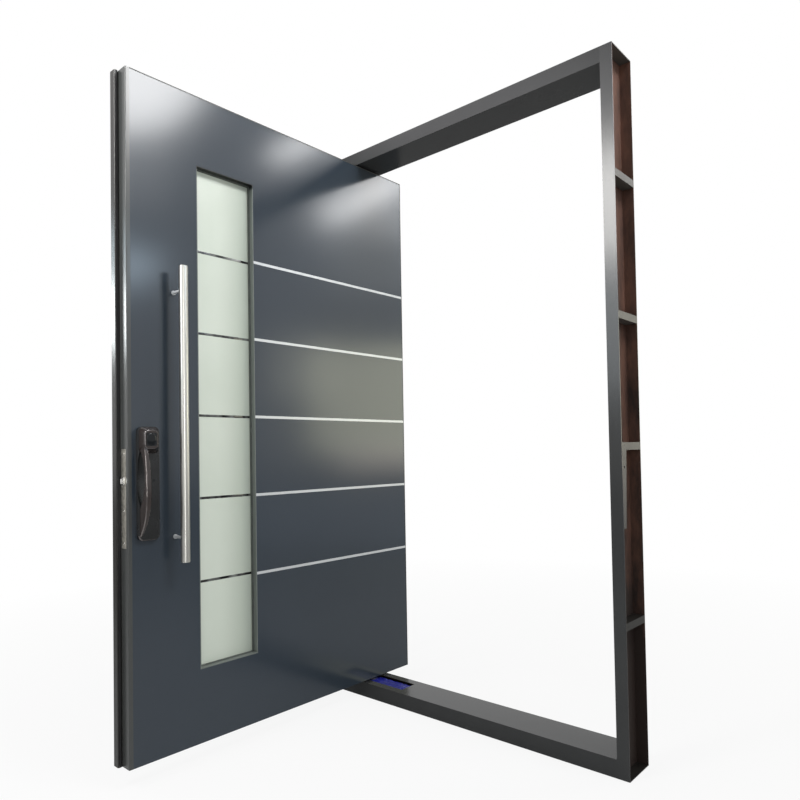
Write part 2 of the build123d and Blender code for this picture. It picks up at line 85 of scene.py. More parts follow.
class DoorColours(bpy.types.PropertyGroup):
    """Colours of the finishes."""

    leaf: hue("Leaf", "Anthracite leaf paint", (0.0228, 0.0307, 0.0412))
    leaf_light: hue("Leaf light", "Paler flecks in the leaf paint", (0.0248, 0.0336, 0.0450))
    edge: hue("Edge", "Paint on the leaf's edge profiles", (0.038, 0.040, 0.039))
    lining: hue("Lining", "Paint in the glass reveal", (0.130, 0.145, 0.135))
    # Painted shade: the top of the reveal is painted dark where it faces down into shade.
    lining_painted_shade: hue("Lining dark", "Paint at the top of the reveal", (0.008, 0.009, 0.008))
    bead: hue("Bead", "Glazing beads", (0.060, 0.068, 0.063))
    edge_line: hue("Edge line", "Dark line round the leaf's faces", (0.012, 0.012, 0.011))
    # Painted shade: the lip along the lock edge is painted near black.
    lip: hue("Lip", "Darker lip along the lock edge", (0.004, 0.003, 0.002))
    frame: hue("Frame", "Dark grey frame paint", (0.025, 0.026, 0.0265))
    primer: hue("Primer", "Red-brown primer in the channels", (0.105, 0.047, 0.030))
    # Painted shade: the primer is painted darker low down in the channels, where less light reaches.
    primer_painted_shade: hue("Primer dark", "Primer low down in the channels", (0.010, 0.004, 0.002))
    tie: hue("Tie", "Grey coat on the tie bars", (0.072, 0.065, 0.058))
    # Painted shade: the lower tie bars are painted darker, where the channel lies in shade.
    tie_painted_shade: hue("Tie dark", "Coat of the lowest tie bar", (0.006, 0.005, 0.004))
    glass: hue("Glass", "Pale green frosted glass", (0.490, 0.535, 0.473))
    glass_light: hue("Glass light", "Paler clouds in the frosted glass", (0.515, 0.556, 0.496))
    # Painted shade: the frosted glass is painted darker towards the pivot side.
    glass_painted_shade: hue("Glass shade", "Frosted glass near the pivot side", (0.340, 0.378, 0.328))
    # A painted view through the clear lines: painted shade of a dark room with patches of painted light.
    line: hue("Clear line", "Dark room seen through the clear lines", (0.012, 0.012, 0.013))
    line_painted_light: hue("Clear line light", "Pale patches seen through the clear lines", (0.20, 0.21, 0.20))
    rubber: hue("Rubber", "Black gaskets and seals", (0.012, 0.012, 0.013))
    inlay: hue("Inlay", "Bright anodised inlay strips", (0.50, 0.515, 0.53))
    stainless: hue("Stainless", "Brushed stainless steel", (0.47, 0.465, 0.435))
    lock_case: hue("Lock case", "Dark satin lock case", (0.008, 0.0085, 0.009))
    lock_grip: hue("Lock grip", "Bronze-brown grip and head", (0.021, 0.016, 0.015))
    lock_rim: hue("Lock rim", "Polished rims of the lock", (0.15, 0.14, 0.14))
    grip_rim: hue("Grip rim", "Polished edges of the grip", (0.21, 0.19, 0.185))
    window: hue("Window", "Glossy black sensor window", (0.005, 0.006, 0.007))
    faceplate: hue("Faceplate", "Speckled steel faceplate", (0.45, 0.43, 0.38))
    faceplate_dark: hue("Faceplate dark", "Dark specks on the faceplate", (0.20, 0.19, 0.16))
    chrome: hue("Chrome", "Plated latch and screws", (0.82, 0.81, 0.78))
    film: hue("Film", "Blue protective film", (0.008, 0.011, 0.190))
    # Painted highlights on the film's creases.
    film_painted_highlight: hue("Film light", "Creases of the blue film", (0.075, 0.10, 0.42))
    steel: hue("Steel", "Turned pivot steel", (0.36, 0.36, 0.37))


class DoorTrim(bpy.types.PropertyGroup):
    """Sizes of the fittings that are added to the solids."""

    line_height: length("Line height", "Height of a clear line across the glass", 0.009)
    line_first: length("First line", "Height of the lowest clear line", 0.6195)
    line_pitch: length("Line pitch", "Step from one clear line to the next", 0.2935)
    line_count: IntProperty(name="Line count", description="Clear lines across each pane", default=5, min=1)
    line_proud: length("Line proud", "How far a clear line stands out of the pane", 0.0004)
    line_bevel: length("Line bevel", "Bevel on a clear line's edges", 0.0002)
    bead_width: length("Bead width", "Glazing bead seen round the pane", 0.003)
    rim_proud: length("Rim proud", "How far a polished rim stands off the case", 0.0002)
    head_rim: length("Head rim", "How far out of the face the head's rim starts", 0.0475)
    foot_rim: length("Foot rim", "Height of the polished rim round the plate's foot", 0.032)
    lens_proud: length("Lens proud", "How far the sensor's lens stands out of its window", 0.0026)
    lens_inset: length("Lens inset", "Rim of the window left round the lens", 0.0012)
    lens_levels: IntProperty(name="Lens levels", description="Rounding steps of the lens", default=4, min=1)
    lip_depth: length("Lip depth", "How far the darker lip reaches along the lock edge", 0.0148)
    edge_line_width: length("Edge line width", "Dark line along the leaf's top and pivot edge", 0.0035)
    edge_line_proud: length("Edge line proud", "How far that line stands out of the face", 0.0006)
    edge_line_bevel: length("Edge line bevel", "Bevel of that line", 0.0003)
    weld_radius: length("Weld radius", "Half the height of a weld bead", 0.003)
    weld_step: length("Weld step", "Step between the ripples of a weld bead", 0.0023)
    guide_proud: length("Guide proud", "How far the latch guide stands out", 0.003)
    guide_sunk: length("Guide sunk", "How far the latch guide sits in the faceplate", 0.0005)
    guide_gap: length("Guide gap", "Gap between the latch and its guide", 0.0006)
    guide_rim: length("Guide rim", "Width of the latch guide's rim", 0.004)
    guide_bevel: length("Guide bevel", "Bevel of the latch guide", 0.0006)
    screw_radius: length("Screw radius", "Radius of a countersunk screw head", 0.0042)
    screw_proud: length("Screw proud", "How far a screw head stands out", 0.0007)
    screw_bevel: length("Screw bevel", "Round on a screw head's rim", 0.0004)
    screw_end: length("Screw end", "From a plate's end to its screw", 0.016)
    screw_middle: length("Screw middle", "From the faceplate's foot to its middle screw", 0.12)
    socket_depth: length("Socket depth", "Depth of a screw's socket", 0.0005)
    bolt_radius: length("Bolt radius", "Radius of a hexagon bolt head", 0.0065)
    bolt_height: length("Bolt height", "Height of a hexagon bolt head", 0.005)
    cap_radius: length("Cap radius", "Radius of the pull bar's end caps", 0.0145)
    cap_proud: length("Cap proud", "How far an end cap stands out of the bar", 0.0012)
    film_sag: length("Film sag", "Height of the film's creases", 0.0042)
    film_gap: length("Film gap", "Height of the film over the closer's lid", 0.0012)
    film_hole: length("Film hole", "Radius of the hole round the spindle", 0.020)
    film_sheet: length("Film sheet", "Thickness of the film", 0.0002)
    film_crease_size: length("Film crease size", "Width of the film's creases", 0.028)
    film_columns: IntProperty(name="Film columns", description="Steps along the film", default=170, min=1)
    film_rows: IntProperty(name="Film rows", description="Steps across the film", default=48, min=1)


class DoorStage(bpy.types.PropertyGroup):
    """Camera and light."""

    camera_place: FloatVectorProperty(name="Camera place", description="Where the camera stands",
                                      default=(1.62223, -2.17340, 1.06887), subtype="TRANSLATION")
    camera_turn: FloatVectorProperty(name="Camera turn", description="How the camera is turned",
                                     default=(radians(91.467), radians(0.9493), radians(41.9688)),
                                     subtype="EULER")
    camera_lens: FloatProperty(name="Lens", description="Focal length in millimetres", default=30.0155)
    camera_sensor: FloatProperty(name="Sensor", description="Sensor width in millimetres", default=36.0)
    camera_shift: FloatVectorProperty(name="Shift", description="Shift of the picture", size=2,
                                      default=(0.01039, 0.04249))
    fill: FloatProperty(name="Fill", description="Strength of the even light from all round", default=0.47)
    floor_size: length("Floor size", "Side of the floor", 40.0)
    floor_depth: length("Floor depth", "How far the floor lies under the sill", 0.001)
    floor_grey: FloatProperty(name="Floor grey", description="Paleness of the floor", default=0.55)
    floor_lift: FloatProperty(name="Floor lift", description="Share of white in the floor", default=0.88)
    floor_near: length("Floor near", "Where the floor starts to fade to white", 0.8)
    floor_far: length("Floor far", "Where the floor has faded to white", 4.0)


# Lamps as name, place, aim, width, height, brightness and tint, some with a roll in degrees and an outline
LAMPS = (
    ("key_softbox", (2.45, -0.05, 4.50), (-0.4395, -0.05, 4.50), 2.16, 1.9, 18.5, (1.0, 1.0, 1.0), 0.0,
     "ELLIPSE"),
    ("key_apron", (2.45, -0.05, 3.35), (-0.4395, -1.15, 2.00), 1.3, 0.70, 1.4, (0.96, 0.98, 1.0)),
    ("top_glow", (2.45, 2.09, 4.10), (-0.4395, 2.09, 4.10), 0.9, 0.17, 19.5, (1.0, 1.0, 1.0), 33.7),
    ("side_ridge", (2.45, 2.98, 3.83), (-0.4395, 2.98, 3.83), 1.5, 0.26, 14.0, (1.0, 1.0, 1.0), 32.0),
    ("side_softbox", (2.45, 3.80, 4.20), (-0.4395, 0.12, 2.45), 1.2, 1.2, 2.3, (1.0, 1.0, 1.0)),
    ("side_glow", (2.45, 3.40, 3.30), (-0.4395, 0.10, 1.92), 1.5, 0.9, 0.75, (0.94, 1.0, 0.98)),
    ("side_card", (2.45, 3.12, 1.65), (-0.4395, -0.02, 1.29), 1.5, 1.16, 3.1, (1.0, 1.0, 0.72)),
    ("card_wing", (2.45, 2.05, 1.90), (-0.4395, -0.42, 1.40), 0.6, 0.6, 1.2, (1.0, 1.0, 0.80)),
    ("warm_card", (2.45, 3.25, 0.99), (-0.4395, 0.10, 1.06), 1.1, 0.26, 2.6, (1.0, 0.88, 0.74)),
    ("low_card", (2.45, 2.70, 0.40), (-0.4395, -0.20, 0.80), 2.4, 0.60, 0.50, (0.80, 0.89, 1.0)),
    ("cool_card", (2.45, 0.02, 2.51), (-0.4395, -1.10, 1.70), 0.9, 0.22, 9.0, (0.68, 0.85, 1.0)),
    ("front_softbox", (-0.40, -2.75, 2.90), (0.72, -0.0775, 1.88), 0.7, 0.8, 26.0, (1.0, 0.99, 0.97)),
    ("front_glow", (-0.36, -2.70, 1.95), (0.72, -0.0775, 1.45), 0.7, 0.9, 4.4, (0.88, 0.95, 1.0)),
    ("head_softbox", (-1.50, -2.75, 4.00), (0.20, -0.0775, 2.37), 2.2, 0.7, 2.6, (1.0, 0.97, 1.0)),
    ("bar_strip", (2.91, -2.94, 1.43), (-0.3745, -0.983, 1.25), 0.5, 2.7, 7.0, (1.0, 1.0, 0.98)),
    ("edge_softbox", (-2.90, -2.35, 2.05), (-0.46, -1.149, 1.52), 0.9, 0.44, 15.0, (0.93, 0.99, 1.0)),
    ("edge_glow", (-2.90, -2.35, 2.48), (-0.46, -1.149, 1.70), 0.9, 0.36, 3.0, (0.72, 0.90, 1.0)),
)


# The leaf's two sides with the way they face
SIDES = (("outer", 1.0), ("inner", -1.0))

# Limits on the part, in metres, where one finish gives way to another
CHANNEL_HALF_DEPTH = 0.0757
JAMB_INSIDE = 0.6945
HEAD_INSIDE = 2.3475
SILL_INSIDE = 0.0595
LEAF_MIDDLE = -0.477
LOCK_HEAD_OUT = 0.0542
# Heights over which painted shade comes in: at the top of the glass reveal and low down on the tie bars.
LINING_SHADE_FADE = (2.070, 2.080)
TIE_SHADE_FADE = (0.50, 1.02)

# How much a metre of height lifts the painted light on the primer and on the clear lines, and where the
# painted shade on the glass starts
PRIMER_RISE = 0.17
LINE_RISE = 0.09
SHADE_START_SHARE = 0.35

# Depths of the finest relief in metres
PEEL_DEPTH = 0.0004
GRAIN_DEPTH = 0.0003
BRUSH_DEPTH = 0.0001
CREASE_DEPTH = 0.0006

# Parts of a face's normal that pick the rims of the lock, the edges of the grip and flat faces
RIM_TURN_SHARES = (0.15, 0.93)
GRIP_FRONT_SHARE = 0.2
GRIP_SIDE_SHARES = (0.4, 0.92)
FACING_SHARE = 0.9
FLAT_SHARE = 0.99

# Proportions of small fittings
SOCKET_SHARE = 0.42
CAP_ROUND_SHARE = 0.8
CAP_INSET_SHARE = 0.25
RIPPLE_SHARES = (1.0, 0.8, 1.0)


# Finishes
def new_finish(name, colour, roughness, metallic=0.0, specular=0.5):
    """A material with one principled shader."""
    finish = bpy.data.materials.new(FINISH_PREFIX + name)
    finish.use_nodes = True
    shader = finish.node_tree.nodes["Principled BSDF"]
    shader.inputs["Base Color"].default_value = (*colour, 1.0)
    shader.inputs["Roughness"].default_value = roughness
    shader.inputs["Metallic"].default_value = metallic
    shader.inputs["Specular IOR Level"].default_value = specular
    return finish


def shader_of(finish):
    """The principled shader of a finish."""
    return finish.node_tree.nodes["Principled BSDF"]


def add_node(finish, kind):
    """Adds a node to a finish or to the world."""
    return finish.node_tree.nodes.new(kind)


def join(finish, source, target):
    """Links two sockets of a finish or of the world."""
    finish.node_tree.links.new(source, target)


def object_place(finish):
    """The place on the part as a socket."""
    return add_node(finish, "ShaderNodeTexCoord").outputs["Object"]


def place_axes(finish):
    """The place on the part as the sockets X, Y and Z."""
    parts = add_node(finish, "ShaderNodeSeparateXYZ")
    join(finish, object_place(finish), parts.inputs["Vector"])
    return parts.outputs


def scaled(colour, factor):
    """A colour made paler or darker."""
    return tuple(min(1.0, value * factor) for value in colour)


def grain(finish, scale, stretch=(1.0, 1.0, 1.0), detail=3.0, roughness=0.5):
    """A noise over the part, stretched along its axes."""
    mapping = add_node(finish, "ShaderNodeMapping")
    mapping.inputs["Scale"].default_value = stretch
    noise = add_node(finish, "ShaderNodeTexNoise")
    noise.inputs["Scale"].default_value = scale
    noise.inputs["Detail"].default_value = detail
    noise.inputs["Roughness"].default_value = roughness
    join(finish, object_place(finish), mapping.inputs["Vector"])
    join(finish, mapping.outputs["Vector"], noise.inputs["Vector"])
    return noise.outputs["Fac"]


def ranged(finish, source, start, end, low=0.0, high=1.0, curve="LINEAR"):
    """Maps a source from one range to another."""
    step = add_node(finish, "ShaderNodeMapRange")
    step.interpolation_type = curve
    for name, value in (("From Min", start), ("From Max", end), ("To Min", low), ("To Max", high)):
        step.inputs[name].default_value = value
    join(finish, source, step.inputs["Value"])
    return step.outputs["Result"]


def vary(finish, source, low, high, start=0.3, end=0.7):
    """Varies the roughness between two values by a source."""
    join(finish, ranged(finish, source, start, end, low, high), shader_of(finish).inputs["Roughness"])


def tint(finish, source, low, high, start=0.35, end=0.65):
    """Runs from one colour to another by a source."""
    ramp = add_node(finish, "ShaderNodeValToRGB")
    stops = ((start, low), (end, high))
    for element, (position, colour) in zip(ramp.color_ramp.elements, stops):
        element.position = position
        element.color = (*colour, 1.0)
    join(finish, source, ramp.inputs["Fac"])
    return ramp.outputs["Color"]


def blend(finish, share, first, second):
    """Mixes two colours, each a socket or a plain colour, by a share."""
    mix = add_node(finish, "ShaderNodeMix")
    mix.data_type = "RGBA"
    join(finish, share, mix.inputs["Factor"])
    for name, colour in (("A", first), ("B", second)):
        if isinstance(colour, bpy.types.NodeSocket):
            join(finish, colour, mix.inputs[name])
        else:
            mix.inputs[name].default_value = (*colour, 1.0)
    return mix.outputs["Result"]


def coat(finish, colour):
    """Gives the shader its colour from a socket."""
    join(finish, colour, shader_of(finish).inputs["Base Color"])


def relief(finish, source, strength, depth):
    """Bumps the surface by a source."""
    bump = add_node(finish, "ShaderNodeBump")
    bump.inputs["Strength"].default_value = strength
    bump.inputs["Distance"].default_value = depth
    join(finish, source, bump.inputs["Height"])
    join(finish, bump.outputs["Normal"], shader_of(finish).inputs["Normal"])


def maths(finish, kind, first, second=None):
    """One step of arithmetic on sockets or numbers."""
    step = add_node(finish, "ShaderNodeMath")
    step.operation = kind
    for socket, value in zip(step.inputs, (first, second)):
        if isinstance(value, (int, float)):
            socket.default_value = value
        elif value is not None:
            join(finish, value, socket)
    return step.outputs["Value"]


def orange_peel(finish):
    """The fine orange peel of sprayed paint."""
    relief(finish, grain(finish, scale=420.0, detail=1.0), strength=0.06, depth=PEEL_DEPTH)


def paint(name, low, high, roughness, lip=None, painted_shade_lip_end=0.0):
    """Semi-gloss paint with faint clouds and wiped patches, on the lock stile with painted shade that
    darkens its lip.
    """
    finish = new_finish(name, low, roughness)
    colour = tint(finish, grain(finish, scale=3.0, detail=6.0), low, high, start=0.2, end=0.8)
    # Painted shade: the stile is painted near black within the lip's depth.
    if lip is not None:
        colour = blend(finish, maths(finish, "LESS_THAN", place_axes(finish)["Y"], painted_shade_lip_end), colour, lip)
    coat(finish, colour)
    patches = grain(finish, scale=2.5, stretch=(1.0, 1.0, 0.6), detail=4.0)
    vary(finish, patches, roughness * 0.96, roughness * 1.04)
    orange_peel(finish)
    return finish


def graded_paint(name, low, high, fade, roughness, specular):
    """Paint that changes its colour with the height, as painted shade."""
    finish = new_finish(name, low, roughness, specular=specular)
    share = ranged(finish, place_axes(finish)["Z"], *fade)
    coat(finish, tint(finish, share, low, high, start=0.0, end=1.0))
    vary(finish, grain(finish, scale=8.0, detail=4.0), roughness * 0.9, roughness * 1.1)
    orange_peel(finish)
    return finish


def channel_paint(name, colours, axis, side, limit, specular):
    """Frame paint outside and streaked primer on the channel's inner faces, with painted shade that makes
    the primer darker low down.
    """
    finish = new_finish(name, colours.frame, roughness=0.22, specular=specular)
    axes = place_axes(finish)
    across = maths(finish, "LESS_THAN", maths(finish, "ABSOLUTE", axes["Y"]), CHANNEL_HALF_DEPTH)
    along = axes[axis]
    if axis == "X":
        along = maths(finish, "ABSOLUTE", along)
    mask = maths(finish, "MULTIPLY", across, maths(finish, side, along, limit))
    fresh = tint(finish, grain(finish, scale=11.0, detail=6.0), colours.frame, scaled(colours.frame, 1.1))
    streaks = grain(finish, scale=7.0, stretch=(1.0, 1.0, 0.3), detail=8.0, roughness=0.7)
    # Painted shade: height lifts the primer, so it is painted darker low down.
    streaks_and_painted_shade = maths(finish, "ADD", streaks, maths(finish, "MULTIPLY", axes["Z"], PRIMER_RISE))
    primer_with_painted_shade = tint(finish, streaks_and_painted_shade, colours.primer_painted_shade, colours.primer, start=0.65, end=0.90)
    coat(finish, blend(finish, mask, fresh, primer_with_painted_shade))
    patches = maths(finish, "MULTIPLY", grain(finish, scale=5.0, detail=5.0), 0.1)
    vary(finish, maths(finish, "ADD", mask, patches), low=0.21, high=0.70, start=0.03, end=1.05)
    relief(finish, grain(finish, scale=380.0, detail=1.0), strength=0.07, depth=PEEL_DEPTH)
    return finish


def brushed(name, colour, roughness, stretch, strength=0.05, metallic=1.0):
    """Brushed metal with fine lines along one axis."""
    finish = new_finish(name, colour, roughness, metallic)
    lines = grain(finish, scale=260.0, stretch=stretch, detail=2.0)
    vary(finish, lines, roughness * 0.9, roughness * 1.12)
    coat(finish, tint(finish, lines, scaled(colour, 0.96), scaled(colour, 1.04), start=0.2, end=0.8))
    relief(finish, lines, strength, BRUSH_DEPTH)
    return finish


def frosted(name, colours):
    """Frosted glass with a fine etched grain and faint clouds, with painted shade towards the pivot side."""
    finish = new_finish(name, colours.glass, roughness=0.34)
    mist = grain(finish, scale=6.0, stretch=(1.0, 1.0, 0.6), detail=5.0)
    clouds = tint(finish, mist, colours.glass, colours.glass_light)
    low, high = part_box("outer_pane")
    start = low.y + SHADE_START_SHARE * (high.y - low.y)
    shade = ranged(finish, place_axes(finish)["Y"], start, high.y, curve="SMOOTHSTEP")
    coat(finish, blend(finish, shade, clouds, colours.glass_painted_shade))
    vary(finish, grain(finish, scale=5.0, detail=4.0), low=0.28, high=0.42)
    relief(finish, grain(finish, scale=900.0, detail=1.0), strength=0.12, depth=GRAIN_DEPTH)
    return finish


def clear_line(name, colours):
    """Clear lines with a painted view of a dark room behind them: painted shade with pale patches of painted
    light, paler higher up.
    """
    finish = new_finish(name, colours.line, roughness=0.08)
    patches = grain(finish, scale=16.0, stretch=(1.0, 1.0, 0.8), detail=2.0)
    patches_and_painted_light = maths(finish, "ADD", patches, maths(finish, "MULTIPLY", place_axes(finish)["Z"], LINE_RISE))
    coat(finish, tint(finish, patches_and_painted_light, colours.line, colours.line_painted_light, start=0.56, end=0.80))
    vary(finish, patches, low=0.05, high=0.14)
    return finish


def moulded(name, colour, roughness, specular, scale=700.0, strength=0.08):
    """Moulded plastic or rubber with a fine grain."""
    finish = new_finish(name, colour, roughness, specular=specular)
    coat(finish, tint(finish, grain(finish, scale=30.0, detail=4.0), colour, scaled(colour, 1.35)))
    vary(finish, grain(finish, scale=14.0, detail=4.0), roughness * 0.85, roughness * 1.15)
    relief(finish, grain(finish, scale, detail=2.0), strength, GRAIN_DEPTH)
    return finish


def lock_case(name, colours):
    """Dark satin plate with a bronze-brown head."""
    finish = new_finish(name, colours.lock_case, roughness=0.26, specular=0.4)
    out = maths(finish, "ABSOLUTE", maths(finish, "SUBTRACT", place_axes(finish)["X"], LEAF_MIDDLE))
    mask = maths(finish, "GREATER_THAN", out, LOCK_HEAD_OUT)
    specks = grain(finish, scale=30.0, detail=4.0)
    plate = tint(finish, specks, colours.lock_case, scaled(colours.lock_case, 1.4))
    head = tint(finish, specks, colours.lock_grip, scaled(colours.lock_grip, 1.2))
    coat(finish, blend(finish, mask, plate, head))
    vary(finish, grain(finish, scale=14.0, detail=4.0), low=0.20, high=0.29)
    relief(finish, grain(finish, scale=900.0, detail=2.0), strength=0.03, depth=GRAIN_DEPTH)
    return finish


def speckled(name, colours):
    """Steel plate with dark specks and a drawn grain."""
    finish = new_finish(name, colours.faceplate, roughness=0.42, metallic=0.85)
    specks = grain(finish, scale=190.0, stretch=(1.0, 1.0, 0.5), detail=6.0, roughness=0.7)
    coat(finish, tint(finish, specks, colours.faceplate_dark, colours.faceplate, start=0.36, end=0.56))
    vary(finish, grain(finish, scale=60.0, detail=4.0), low=0.34, high=0.52)
    drawn = grain(finish, scale=300.0, stretch=(1.0, 1.0, 0.2), detail=2.0)
    relief(finish, drawn, strength=0.06, depth=GRAIN_DEPTH)
    return finish


def creased_film(name, colours):
    """Thin blue film whose pale creases are painted highlights."""
    finish = new_finish(name, colours.film, roughness=0.30)
    creases = grain(finish, scale=55.0, stretch=(1.0, 1.6, 1.0), detail=4.0, roughness=0.6)
    # The pale crease marks are painted highlights.
    coat(finish, tint(finish, creases, colours.film, colours.film_painted_highlight, start=0.56, end=0.80))
    vary(finish, creases, low=0.24, high=0.40)
    relief(finish, grain(finish, scale=140.0, detail=3.0), strength=0.25, depth=CREASE_DEPTH)
    return finish


def polished(name, colour, roughness):
    """Polished metal with faint handling marks."""
    finish = new_finish(name, colour, roughness, metallic=1.0)
    marks = grain(finish, scale=45.0, detail=6.0, roughness=0.65)
    vary(finish, marks, roughness * 0.7, roughness * 1.5)
    coat(finish, tint(finish, marks, scaled(colour, 0.88), colour))
    return finish


def build_finishes(colours, trim):
    """All finishes by name."""
    pale_edge = scaled(colours.edge, 1.25)
    # The stile's lip is painted darker as painted shade, out to this depth.
    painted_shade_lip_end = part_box("lock_stile")[0].y + trim.lip_depth
    along_x, along_y, along_z = (0.03, 1.0, 1.0), (1.0, 0.03, 1.0), (1.0, 1.0, 0.03)
    made = (
        paint("leaf_paint", colours.leaf, colours.leaf_light, roughness=0.172),
        paint("edge_paint", colours.edge, pale_edge, roughness=0.24),
        paint("stile_paint", colours.edge, pale_edge, roughness=0.24, lip=colours.lip, painted_shade_lip_end=painted_shade_lip_end),
        paint("edge_line", colours.edge_line, colours.edge, roughness=0.5),
        # The reveal's lining is painted dark at the top as painted shade.
        graded_paint("lining_paint", colours.lining, colours.lining_painted_shade, LINING_SHADE_FADE, roughness=0.35,
                     specular=0.25),
        # The tie bars are painted darker low down as painted shade.
        graded_paint("tie_paint", colours.tie_painted_shade, colours.tie, TIE_SHADE_FADE, roughness=0.45, specular=0.3),
        channel_paint("jamb_paint", colours, "X", "GREATER_THAN", JAMB_INSIDE, specular=0.38),
        channel_paint("head_paint", colours, "Z", "GREATER_THAN", HEAD_INSIDE, specular=0.28),
        channel_paint("sill_paint", colours, "Z", "LESS_THAN", SILL_INSIDE, specular=0.34),
        brushed("inlay_metal", colours.inlay, roughness=0.34, stretch=along_y, metallic=0.35),
        frosted("frosted_glass", colours),
        clear_line("clear_line", colours),
        moulded("bead_rubber", colours.bead, roughness=0.5, specular=0.35),
        moulded("seal_rubber", colours.rubber, roughness=0.62, specular=0.3),
        brushed("spacer_metal", colours.steel, roughness=0.35, stretch=(1.0, 0.05, 1.0)),
        brushed("stainless", colours.stainless, roughness=0.30, stretch=along_z),
        brushed("satin_steel", colours.inlay, roughness=0.42, stretch=along_x, strength=0.03, metallic=0.25),
        lock_case("lock_case", colours),
        moulded("lock_grip", colours.lock_grip, roughness=0.20, specular=0.5, scale=900.0, strength=0.02),
        polished("lock_rim", colours.lock_rim, roughness=0.20),
        polished("grip_rim", colours.grip_rim, roughness=0.16),
        moulded("sensor_gloss", colours.window, roughness=0.08, specular=0.22, scale=60.0, strength=0.02),
        speckled("faceplate_steel", colours),
        polished("latch_chrome", colours.chrome, roughness=0.14),
        creased_film("closer_film", colours),
        brushed("pivot_steel", colours.steel, roughness=0.32, stretch=(1.0, 1.0, 0.05)),
    )
    return {finish.name.removeprefix(FINISH_PREFIX): finish for finish in made}


NODE_FINISHES = {
    "jamb_paint": ("lock_jamb", "pivot_jamb"),
    "head_paint": ("head_channel",),
    "sill_paint": ("sill_channel", "sill_base_plate", "lock_stop"),
    "tie_paint": ("lock_jamb_ties", "pivot_jamb_ties", "head_ties", "jamb_gusset"),
    "seal_rubber": ("stop_seal", "leaf_seal"),
    "stainless": ("strike_plate", "pull_bar"),
    "satin_steel": ("pull_bar_posts",),
    "closer_film": ("floor_closer", "closer_lid"),
    "pivot_steel": ("top_pivot_housing", "top_pivot_pin", "pivot_spindle"),
    "stile_paint": ("lock_stile",),
    "edge_paint": ("pivot_stile", "top_rail", "bottom_rail"),
    "leaf_paint": ("outer_skin", "inner_skin"),
    "lining_paint": ("glazing_lining",),
    "inlay_metal": ("outer_inlay_strips", "inner_inlay_strips"),
    "bead_rubber": ("outer_glazing_bead", "inner_glazing_bead"),
    "frosted_glass": ("outer_pane", "inner_pane"),
    "spacer_metal": ("pane_spacer",),
    "lock_case": ("outer_lock_body", "inner_lock_body"),
    "lock_grip": ("outer_lock_grip", "inner_lock_grip"),
    "sensor_gloss": ("sensor_window", "key_cover"),
    "faceplate_steel": ("lock_faceplate",),
    "latch_chrome": ("latch_bolt",),
}


def finish_named(name):
    """A finish that the first step made."""
    finish = bpy.data.materials.get(FINISH_PREFIX + name)
    if finish is None:
        raise RuntimeError(f"no finish named {name}: run the finishes step first")
    return finish


# Modelling steps shared by the pieces
def start_clean():
    """Leaves edit mode and deselects everything."""
    if bpy.context.object is not None and bpy.context.object.mode != "OBJECT":
        bpy.ops.object.mode_set(mode="OBJECT")
    bpy.ops.object.select_all(action="DESELECT")


def apply_place():
    """Moves the active piece's place, turn and size into its mesh."""
    bpy.ops.object.transform_apply(location=True, rotation=True, scale=True)
    return bpy.context.object


def add_block(low, high):
    """A cube primitive between two corners."""
    start_clean()
    low = Vector(low)
    high = Vector(high)
    bpy.ops.mesh.primitive_cube_add(size=1.0, location=(low + high) / 2, scale=high - low)
    return apply_place()


def pick(piece, kind, test):
    """Enters edit mode with the vertices, edges or faces selected that pass a test."""
    bpy.ops.object.mode_set(mode="EDIT")
    bpy.ops.mesh.select_mode(type=kind)
    bpy.ops.mesh.select_all(action="DESELECT")
    mesh = bmesh.from_edit_mesh(piece.data)
    parts = {"VERT": mesh.verts, "EDGE": mesh.edges, "FACE": mesh.faces}[kind]
    found = [part for part in parts if test(part)]
    if not found:
        raise RuntimeError(f"nothing to shape on {piece.name}")
    for part in found:
        part.select_set(True)
    mesh.select_flush_mode()
    bmesh.update_edit_mesh(piece.data)


def bevel_all(piece, width, segments=2):
    """Bevels every edge of a piece."""
    bpy.ops.object.mode_set(mode="EDIT")
    bpy.ops.mesh.select_all(action="SELECT")
    bpy.ops.mesh.bevel(offset=width, segments=segments, affect="EDGES")
    bpy.ops.object.mode_set(mode="OBJECT")


def make_active(piece):
    """Selects one piece alone and makes it the active one."""
    start_clean()
    piece.select_set(True)
    bpy.context.view_layer.objects.active = piece


def duplicate(piece):
    """A copy with its own mesh in the same place."""
    make_active(piece)
    bpy.ops.object.duplicate(linked=False)
    return bpy.context.object


def copy_of(piece, place, turn=(0.0, 0.0, 0.0)):
    """A copy with its own mesh, turned and moved from the origin."""
    copy = duplicate(piece)
    copy.rotation_euler = turn
    copy.location = place
    return apply_place()


def join_all(pieces):
    """Joins several pieces into the first."""
    start_clean()
    for piece in pieces:
        piece.select_set(True)
    bpy.context.view_layer.objects.active = pieces[0]
    if len(pieces) > 1:
        bpy.ops.object.join()
    return bpy.context.object


def use_modifier(kind, **values):
    """Adds a modifier to the active piece and applies it."""
    piece = bpy.context.object
    bpy.ops.object.modifier_add(type=kind)
    modifier = piece.modifiers[-1]
    for key, value in values.items():
        setattr(modifier, key, value)
    bpy.ops.object.modifier_apply(modifier=modifier.name)


def settle(piece, name, body, finish, angle=35.0):
    """Names a piece and gives it its shading, finish, body and slot."""
    make_active(piece)
    bpy.ops.object.shade_smooth_by_angle(angle=radians(angle))
    piece.name = name
    piece.data.name = name
    piece.data.materials.clear()
    piece.data.materials.append(finish_named(finish))
    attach(piece, body)
    start_clean()


